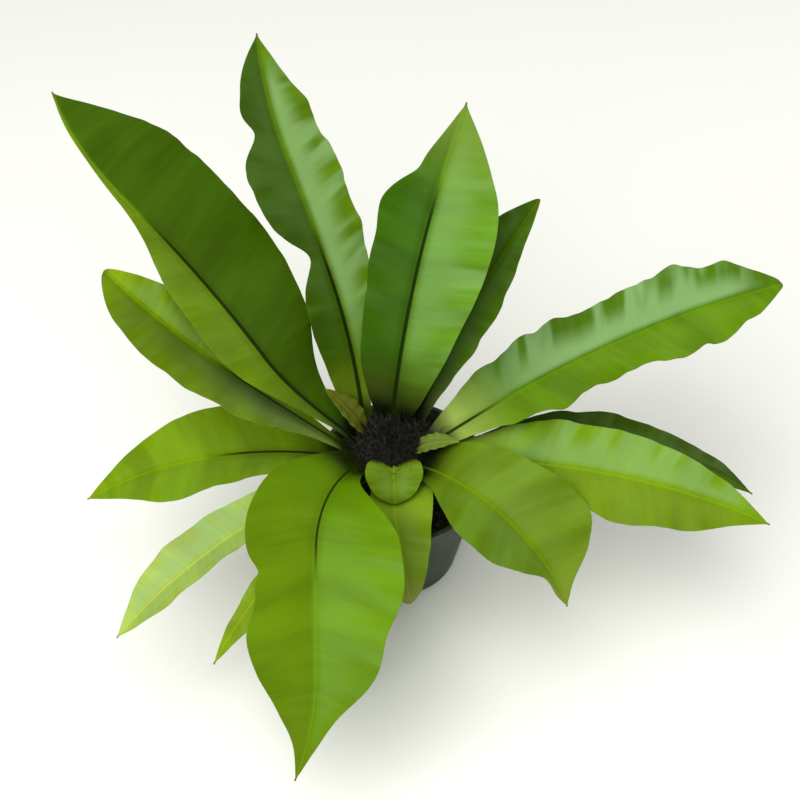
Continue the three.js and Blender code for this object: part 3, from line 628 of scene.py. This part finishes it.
class Graph:
    """A material's node tree with short calls for the few nodes that are used."""

    def __init__(self, name):
        self.material = bpy.data.materials.new(name)
        self.material.use_nodes = True
        self.tree = self.material.node_tree
        self.tree.nodes.clear()
        self.output = self.put("ShaderNodeOutputMaterial")

    def put(self, kind, inputs=None, **settings):
        """Adds a node; inputs maps a socket's name or number to a value or to another node's output."""
        node = self.tree.nodes.new(kind)
        for key, value in settings.items():
            setattr(node, key, value)
        for key, value in (inputs or {}).items():
            if isinstance(value, bpy.types.NodeSocket):
                self.tree.links.new(value, node.inputs[key])
            else:
                node.inputs[key].default_value = value
        return node

    def math(self, operation, *values):
        """One number worked out from one to three others."""
        return self.put("ShaderNodeMath", dict(enumerate(values)), operation=operation).outputs[0]

    def mark(self, name):
        """A value stored at the points of the piece."""
        return self.put("ShaderNodeAttribute", attribute_name=name).outputs["Fac"]

    def place(self):
        """Place on the object in metres."""
        return self.put("ShaderNodeTexCoord").outputs["Object"]

    def vector(self, x, y, z):
        """A vector from three numbers."""
        return self.put("ShaderNodeCombineXYZ", {0: x, 1: y, 2: z}).outputs[0]

    def noise(self, where, scale, detail=3.0, rough=0.55):
        """Cloudy noise from 0 to 1."""
        wanted = {"Vector": where, "Scale": scale, "Detail": detail, "Roughness": rough}
        return self.put("ShaderNodeTexNoise", wanted).outputs["Fac"]

    def ramp(self, value, low, high):
        """0 below low, 1 above high, an S curve between."""
        wanted = {"Value": value, "From Min": low, "From Max": high}
        return self.put("ShaderNodeMapRange", wanted, interpolation_type="SMOOTHSTEP").outputs["Result"]

    def mix(self, share, a, b):
        """Colour a where share is 0 and b where it is 1."""
        node = self.put("ShaderNodeMix", {0: share, 6: a, 7: b}, data_type="RGBA", clamp_factor=True)
        return node.outputs[2]

    def bump(self, height, distance, strength=1.0, under=None):
        """Normal bent by a height in units of distance."""
        wanted = {"Height": height, "Distance": distance, "Strength": strength}
        if under is not None:
            wanted["Normal"] = under
        return self.put("ShaderNodeBump", wanted).outputs["Normal"]

    def finish(self, shader):
        """Sends the shader to the output and hands back the material."""
        self.tree.links.new(shader, self.output.inputs["Surface"])
        return self.material


VEIN_SPACING = 0.0019
VEIN_SLANT = 0.32
PLEAT_SPACING = 0.012
DARK_RIB = (8, 13, 2)
# pale colour of the painted sheen
PAINTED_SHEEN_COLOUR = (142, 180, 118)
DRY = (92, 84, 34)


def tone(colour, gain, plus=0):
    """Screen colour made lighter or darker, kept within 0 to 255, as a linear colour."""
    return paint(*(min(255, max(0, int(gain * c + plus))) for c in colour))


class Leaf(Graph):
    """Node tree of one frond's material, with the patterns that its colours and relief share.

    Veins, streaks and pleats follow course, the place along the midrib that a vein through the point
    started from. Lengths are in metres.
    """

    def __init__(self, name, f, number):
        super().__init__(name)
        self.f = f
        self.length = f["length"] * MM
        self.along = self.math("MULTIPLY", self.mark("along"), MM)
        self.out = self.math("MULTIPLY", self.mark("out"), MM)
        self.edge, self.reach = self.mark("edge"), self.mark("reach")
        self.under, self.hand = self.mark("under"), self.mark("hand")
        self.point = self.place()
        course = self.math("SUBTRACT", self.along, self.math("MULTIPLY", self.out, VEIN_SLANT))
        wobble = self.math("SUBTRACT", self.noise(self.point, 60.0, 2.0), 0.5)
        self.course = self.math("ADD", course, self.math("MULTIPLY", wobble, 0.0016))
        self.streak = self.noise(self.stretched(210.0, 16.0, number * 7.3), 1.0, 4.0, 0.6)
        self.broad = self.noise(self.stretched(38.0, 9.0, number * 3.1), 1.0, 2.0)
        self.pleat = self.noise(self.stretched(1.0 / PLEAT_SPACING, 12.0, number * 1.9), 1.0, 1.0)
        self.mottle = self.noise(self.point, 24.0, 4.0)
        vein_turn = self.math("MULTIPLY", self.course, 2 * math.pi / VEIN_SPACING)
        self.vein = self.math("POWER", self.math("ABSOLUTE", self.math("SINE", vein_turn)), 6.0)
        light = self.math("MULTIPLY", self.streak, 0.4)
        light = self.math("ADD", light, self.math("MULTIPLY", self.broad, 0.8))
        light = self.math("ADD", light, self.math("MULTIPLY", self.mottle, 0.4))
        self.light = self.ramp(light, 0.52, 1.08)

    def stretched(self, along, out, apart):
        """Place for a noise that is drawn out along the veins; apart sets one frond off from the next."""
        lengthwise = self.math("MULTIPLY", self.course, along)
        return self.vector(lengthwise, self.math("MULTIPLY", self.out, out), apart)

    def halves(self, gain, plus=0):
        """Colour of the two halves, living colour with each half's painted light and shade, made lighter or
        darker.
        """
        left, right = self.f["halves_with_painted_light"]
        return self.mix(self.hand, tone(right, gain, plus), tone(left, gain, plus))

    def less(self, value):
        """One less the value."""
        return self.math("SUBTRACT", 1.0, value)


def living_colour(g):
    """Streaked green of the two halves, with their painted light and shade, and fine lighter veins."""
    blade = g.mix(g.light, g.halves(0.88), g.halves(1.07, 3))
    return g.mix(g.math("MULTIPLY", g.vein, 0.1), blade, g.halves(1.2, 12))


def with_painted_sheen(g, blade):
    """Painted pale sheen away from midrib, foot and tip, broken at the edge by painted shade of the pleats.
    """
    # painted shade of the pleats near the edge
    pleat_shade = g.math("MULTIPLY", g.ramp(g.edge, 0.25, 0.8), g.ramp(g.pleat, 0.38, 0.6))
    left, right = g.f["painted_sheen"]
    strength = g.math("ADD", right, g.math("MULTIPLY", g.hand, left - right))
    span = g.math("MULTIPLY", g.ramp(g.reach, 0.12, 0.4), g.less(g.ramp(g.reach, 0.86, 0.97)))
    span = g.math("MULTIPLY", span, g.ramp(g.out, 0.001, 0.006))
    # strength of the painted sheen
    painted_sheen = g.math("MULTIPLY", g.math("MULTIPLY", g.less(pleat_shade), strength), span)
    return g.mix(painted_sheen, blade, paint(*PAINTED_SHEEN_COLOUR))


def with_ends(g, blade):
    """The tip's own colour where it has one, and an olive foot that goes near black at the crown: the dark
    stalk base with painted shade of the hollow heart.
    """
    if g.f["tip"]:
        blade = g.mix(g.math("MULTIPLY", g.ramp(g.reach, 0.72, 0.98), 0.8), blade, tone(g.f["tip"], 1.0))
    foot_end = min(0.075, 0.3 * g.length)
    uneven = g.math("MULTIPLY", g.math("SUBTRACT", g.broad, 0.5), 0.4 * foot_end)
    from_foot = g.math("ADD", g.along, uneven)
    blade = g.mix(g.ramp(from_foot, 0.3 * foot_end, foot_end), tone(g.f["foot"], 1.0), blade)
    # near black at the crown: dark stalk base and painted shade of the hollow heart
    dark_stalk_and_shade_end = min(0.034, 0.2 * g.length)
    return g.mix(g.ramp(from_foot, 0.25 * dark_stalk_and_shade_end, dark_stalk_and_shade_end), tone(g.f["foot"], 0.24), blade)


def with_midrib(g, blade):
    """Midrib, near black up to the frond's dark share with a soft shadow beside it, and pale beyond.

    Returns the colour and the stripe of the dark part.
    """
    width = g.math("ADD", 0.001, g.math("MULTIPLY", g.less(g.reach), 0.0014))
    from_middle = g.math("DIVIDE", g.out, g.math("MULTIPLY", width, g.f["rib"]))
    line = g.less(g.ramp(from_middle, 0.3, 0.7))
    blade = g.mix(g.math("MULTIPLY", line, 0.35), blade, g.halves(1.15, 16))
    share = g.f["dark"]
    dark = g.less(g.ramp(g.reach, max(0.02, share - 0.1), share + 0.06))
    rib = g.less(g.ramp(from_middle, 0.55, 1.15))
    stripe = g.math("MULTIPLY", dark if share > 0 else 0.0, rib)
    blade = g.mix(g.math("MULTIPLY", stripe, 0.95), blade, paint(*DARK_RIB))
    shadow = g.math("MULTIPLY", g.less(g.ramp(g.out, 0.001, 0.008)), 0.25)
    return g.mix(g.math("MULTIPLY", shadow, dark), blade, g.halves(0.5)), stripe


def with_underside(g, blade, stripe):
    """Duller and paler below, with the same dark midrib."""
    left, right = g.f["halves_with_painted_light"]
    pale = g.mix(g.light, tone(right, 0.78, 26), tone(left, 0.85, 40))
    return g.mix(g.under, blade, g.mix(g.math("MULTIPLY", stripe, 0.9), pale, paint(16, 18, 6)))


def with_dry_edge(g, blade):
    """Thin dry brown here and there along the edge and at the very tip."""
    dry = g.math("MULTIPLY", g.ramp(g.edge, 0.965, 1.0), g.ramp(g.noise(g.point, 90.0, 3.0), 0.6, 0.72))
    uneven = g.math("ADD", g.reach, g.math("MULTIPLY", g.mottle, 0.02))
    dry = g.math("MAXIMUM", dry, g.ramp(uneven, 0.99, 1.012))
    return g.mix(g.math("MULTIPLY", dry, 0.6), blade, paint(*DRY))


def frond_material(name, f, number):
    """Living blade: satin and coloured as the functions above say, veined and puckered, and a little
    light shines through it."""
    g = Leaf(name, f, number)
    blade, stripe = with_midrib(g, with_ends(g, with_painted_sheen(g, living_colour(g))))
    blade = with_dry_edge(g, with_underside(g, blade, stripe))
    rough = g.math("ADD", 0.36, g.math("MULTIPLY", g.noise(g.point, 140.0, 3.0), 0.1))
    rough = g.math("ADD", rough, g.math("MULTIPLY", g.under, 0.18))
    relief = g.math("ADD", g.math("MULTIPLY", g.vein, 0.5), g.math("MULTIPLY", g.streak, 0.9))
    normal = g.bump(relief, 0.00035, 0.4)
    normal = g.bump(g.noise(g.point, 520.0, 3.0), 0.00012, 0.3, normal)
    surface = g.put("ShaderNodeBsdfPrincipled", {
        "Base Color": blade, "Roughness": rough, "Normal": normal, "Specular IOR Level": 0.07})
    glow = g.put("ShaderNodeBsdfTranslucent", {
        "Color": g.mix(0.5, blade, paint(140, 180, 10)), "Normal": normal})
    both = g.put("ShaderNodeMixShader", {0: 0.12, 1: surface.outputs[0], 2: glow.outputs[0]})
    return g.finish(both.outputs[0])


def fibre_material(name, deep, tip):
    """Dry fibre: near black at the root, brown towards the tip, each strand a little different."""
    g = Graph(name)
    share = g.math("MULTIPLY", g.mark("reach"), g.math("ADD", 0.25, g.mark("shade")))
    colour = g.mix(g.ramp(share, 0.15, 1.25), paint(*deep), paint(*tip))
    rough = g.math("ADD", 0.5, g.math("MULTIPLY", g.noise(g.place(), 300.0), 0.3))
    surface = g.put("ShaderNodeBsdfPrincipled", {
        "Base Color": colour, "Roughness": rough, "Specular IOR Level": 0.4})
    return g.finish(surface.outputs[0])


def mound_material():
    """Packed stalk bases and matted fibre: black brown with lighter threads and a few green ones."""
    g = Graph("crown mound")
    place = g.place()
    stretched = g.put("ShaderNodeMapping", {"Vector": place, "Scale": (900, 900, 160)}).outputs[0]
    thread = g.noise(stretched, 1.0, 5.0, 0.7)
    colour = g.mix(g.ramp(thread, 0.45, 0.75), paint(5, 7, 3), paint(20, 21, 9))
    green = g.ramp(g.noise(place, 70.0, 3.0), 0.6, 0.72)
    colour = g.mix(g.math("MULTIPLY", green, 0.35), colour, paint(20, 32, 8))
    normal = g.bump(thread, 0.0008, 1.0)
    surface = g.put("ShaderNodeBsdfPrincipled", {
        "Base Color": colour, "Roughness": 0.85, "Normal": normal, "Specular IOR Level": 0.3})
    return g.finish(surface.outputs[0])


def soil_grain(g):
    """Colour of damp potting mix and the grain that it follows."""
    grain = g.noise(g.place(), 420.0, 5.0, 0.7)
    return g.mix(g.ramp(grain, 0.35, 0.7), paint(9, 8, 5), paint(36, 28, 18)), grain


def soil_surface(g, colour, grain):
    """Rough surface of that colour with the grain raised on it."""
    normal = g.bump(grain, 0.0007, 0.9)
    surface = g.put("ShaderNodeBsdfPrincipled", {
        "Base Color": colour, "Roughness": 0.9, "Normal": normal, "Specular IOR Level": 0.3})
    return g.finish(surface.outputs[0])


def soil_material():
    """Damp potting mix: dark brown grains."""
    g = Graph("soil")
    return soil_surface(g, *soil_grain(g))


def crumb_material():
    """Crumbs of the potting mix: some lighter brown, and a few pale bits."""
    g = Graph("soil crumbs")
    colour, grain = soil_grain(g)
    shade = g.mark("shade")
    colour = g.mix(g.ramp(shade, 0.55, 1.0), colour, paint(70, 53, 37))
    colour = g.mix(g.ramp(shade, 0.975, 0.985), colour, paint(196, 190, 178))
    return soil_surface(g, colour, grain)


def pot_material():
    """Dark moulded plastic with a fine grain, faint scuffs and a dusting of dry soil towards the rim."""
    g = Graph("pot plastic")
    place = g.place()
    height = g.put("ShaderNodeSeparateXYZ", {0: place}).outputs["Z"]
    base = g.mix(g.ramp(g.noise(place, 30.0, 3.0), 0.3, 0.75), paint(34, 46, 29), paint(49, 63, 44))
    dust = g.math("MULTIPLY", g.ramp(height, 0.07, 0.105), g.ramp(g.noise(place, 85.0, 5.0, 0.7), 0.5, 0.68))
    base = g.mix(g.math("MULTIPLY", dust, 0.4), base, paint(110, 106, 88))
    stretched = g.put("ShaderNodeMapping", {"Vector": place, "Scale": (60, 60, 900)}).outputs[0]
    scuff = g.noise(stretched, 1.0, 4.0, 0.65)
    rough = g.math("ADD", 0.38, g.math("MULTIPLY", scuff, 0.22))
    normal = g.bump(g.noise(place, 900.0, 2.0), 0.00012, 0.4)
    normal = g.bump(scuff, 0.0001, 0.25, normal)
    surface = g.put("ShaderNodeBsdfPrincipled", {
        "Base Color": base, "Roughness": rough, "Normal": normal, "Specular IOR Level": 0.25})
    return g.finish(surface.outputs[0])


def floor_material():
    """Pale plain surface."""
    g = Graph("pale floor")
    surface = g.put("ShaderNodeBsdfPrincipled", {
        "Base Color": (0.82, 0.82, 0.81, 1), "Roughness": 0.7, "Specular IOR Level": 0.2})
    return g.finish(surface.outputs[0])


def dress(piece, material, slot, *nodes):
    """Gives a piece its material, its body and the solids that it stands for; slot is not used."""
    piece.data.materials.clear()
    piece.data.materials.append(material)
    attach(piece, "root")
    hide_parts(*nodes)


# Build

for number, (name, given) in enumerate(FRONDS.items()):
    f = {**FROND, **LOOK, **given, **LOOKS[name]}
    dress(frond_piece(name + "_blade", f), frond_material(name + " leaf", f, number), name, name)

mound, scales, fibres = make_crown()
dress(mound, mound_material(), "crown", "crown")
dress(scales, fibre_material("crown scale", (7, 8, 3), (34, 31, 15)), "crown", "crown")
dress(fibres, fibre_material("crown fibre", (9, 9, 4), (50, 46, 26)), "crown", "crown")

dress(make_plug(), soil_material(), "soil", "soil")
dress(make_crumbs(), crumb_material(), "soil", "soil")

dress(make_pot(), pot_material(), "pot", "pot")


# Camera, floor and light

VIEW_ELEVATION = math.radians(52.0)
VIEW_DISTANCE = 0.950
MM_PER_PIXEL = 0.70
CROWN_POINT = Vector((CROWN_X, 0.0, 140.0)) * MM
CROWN_PIXEL = (392.0, 440.0)
FRAME_PIXELS = 800.0


def make_camera():
    """Camera on azimuth 0 that sees the crown's top at its place in the photo and at its scale."""
    right = Vector((1, 0, 0))
    up = Vector((0, math.sin(VIEW_ELEVATION), math.cos(VIEW_ELEVATION)))
    back = Vector((0, -math.cos(VIEW_ELEVATION), math.sin(VIEW_ELEVATION)))
    pixel = MM_PER_PIXEL * MM
    half = FRAME_PIXELS / 2
    target = CROWN_POINT + right * (half - CROWN_PIXEL[0]) * pixel + up * (CROWN_PIXEL[1] - half) * pixel
    data = bpy.data.cameras.new("camera")
    data.sensor_fit = "HORIZONTAL"
    data.sensor_width = 36.0
    data.lens = 36.0 * VIEW_DISTANCE / (FRAME_PIXELS * pixel)
    data.clip_start = 0.01
    camera = bpy.data.objects.new("camera", data)
    camera.location = target + back * VIEW_DISTANCE
    camera.rotation_euler = (-back).to_track_quat("-Z", "Y").to_euler()
    bpy.context.scene.collection.objects.link(camera)
    bpy.context.scene.camera = camera


def area_light(name, place, aim, size, power, colour):
    """Square soft light at place, turned to face aim."""
    data = bpy.data.lights.new(name, "AREA")
    data.shape = "SQUARE"
    data.size = size
    data.energy = power
    data.color = colour
    light = bpy.data.objects.new(name, data)
    light.location = place
    light.rotation_euler = (Vector(aim) - Vector(place)).to_track_quat("-Z", "Y").to_euler()
    bpy.context.scene.collection.objects.link(light)


def make_floor():
    """Large plain square just under the pot."""
    reach, drop = 4000.0, -0.2
    signs = np.array([(-1, -1), (1, -1), (1, 1), (-1, 1)])
    corners = np.c_[reach * signs, np.full(4, drop)]
    floor = put_mesh("floor", corners, [[0, 1, 2, 3]])
    floor.data.materials.append(floor_material())


make_camera()
make_floor()
AIM = (0, 0, 0.12)
area_light("sky panel", (-0.5, -0.55, 1.6), AIM, 1.5, 33.0, (1.0, 1.0, 0.93))
area_light("side panel", (1.4, 0.6, 1.0), AIM, 1.0, 8.0, (1.0, 1.0, 0.95))

world = bpy.data.worlds.new("studio")
world.use_nodes = True
world.node_tree.nodes["Background"].inputs["Color"].default_value = (0.99, 1.0, 0.96, 1.0)
world.node_tree.nodes["Background"].inputs["Strength"].default_value = 0.5
bpy.context.scene.world = world
bpy.context.scene.view_settings.view_transform = "Standard"
